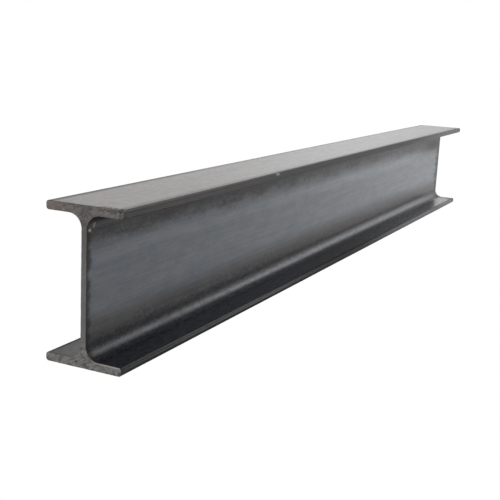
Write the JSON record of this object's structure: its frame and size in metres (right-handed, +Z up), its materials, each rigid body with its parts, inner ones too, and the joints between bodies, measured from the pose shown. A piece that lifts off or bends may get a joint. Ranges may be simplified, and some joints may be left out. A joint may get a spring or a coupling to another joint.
{
  "type": "steel i-beam",
  "caption": "Hot-rolled steel I-beam with parallel flanges and rounded root fillets, sawn square at both ends to a short length.",
  "frame": {"origin": "middle of the underside: the centre of the lower flange's outer face, half way along the beam", "axes": "+X along the beam, +Y across the flanges, +Z up the web, from the lower flange to the upper one"},
  "size_m": [0.8, 0.055, 0.1],
  "materials": {
    "mill_scale_steel": "hot-rolled mill scale, dark blue-grey and satin, with bare grey-brown steel at the sawn ends"
  },
  "bodies": {
    "root": {"i_beam": "mill_scale_steel"}
  },
  "joints": []
}
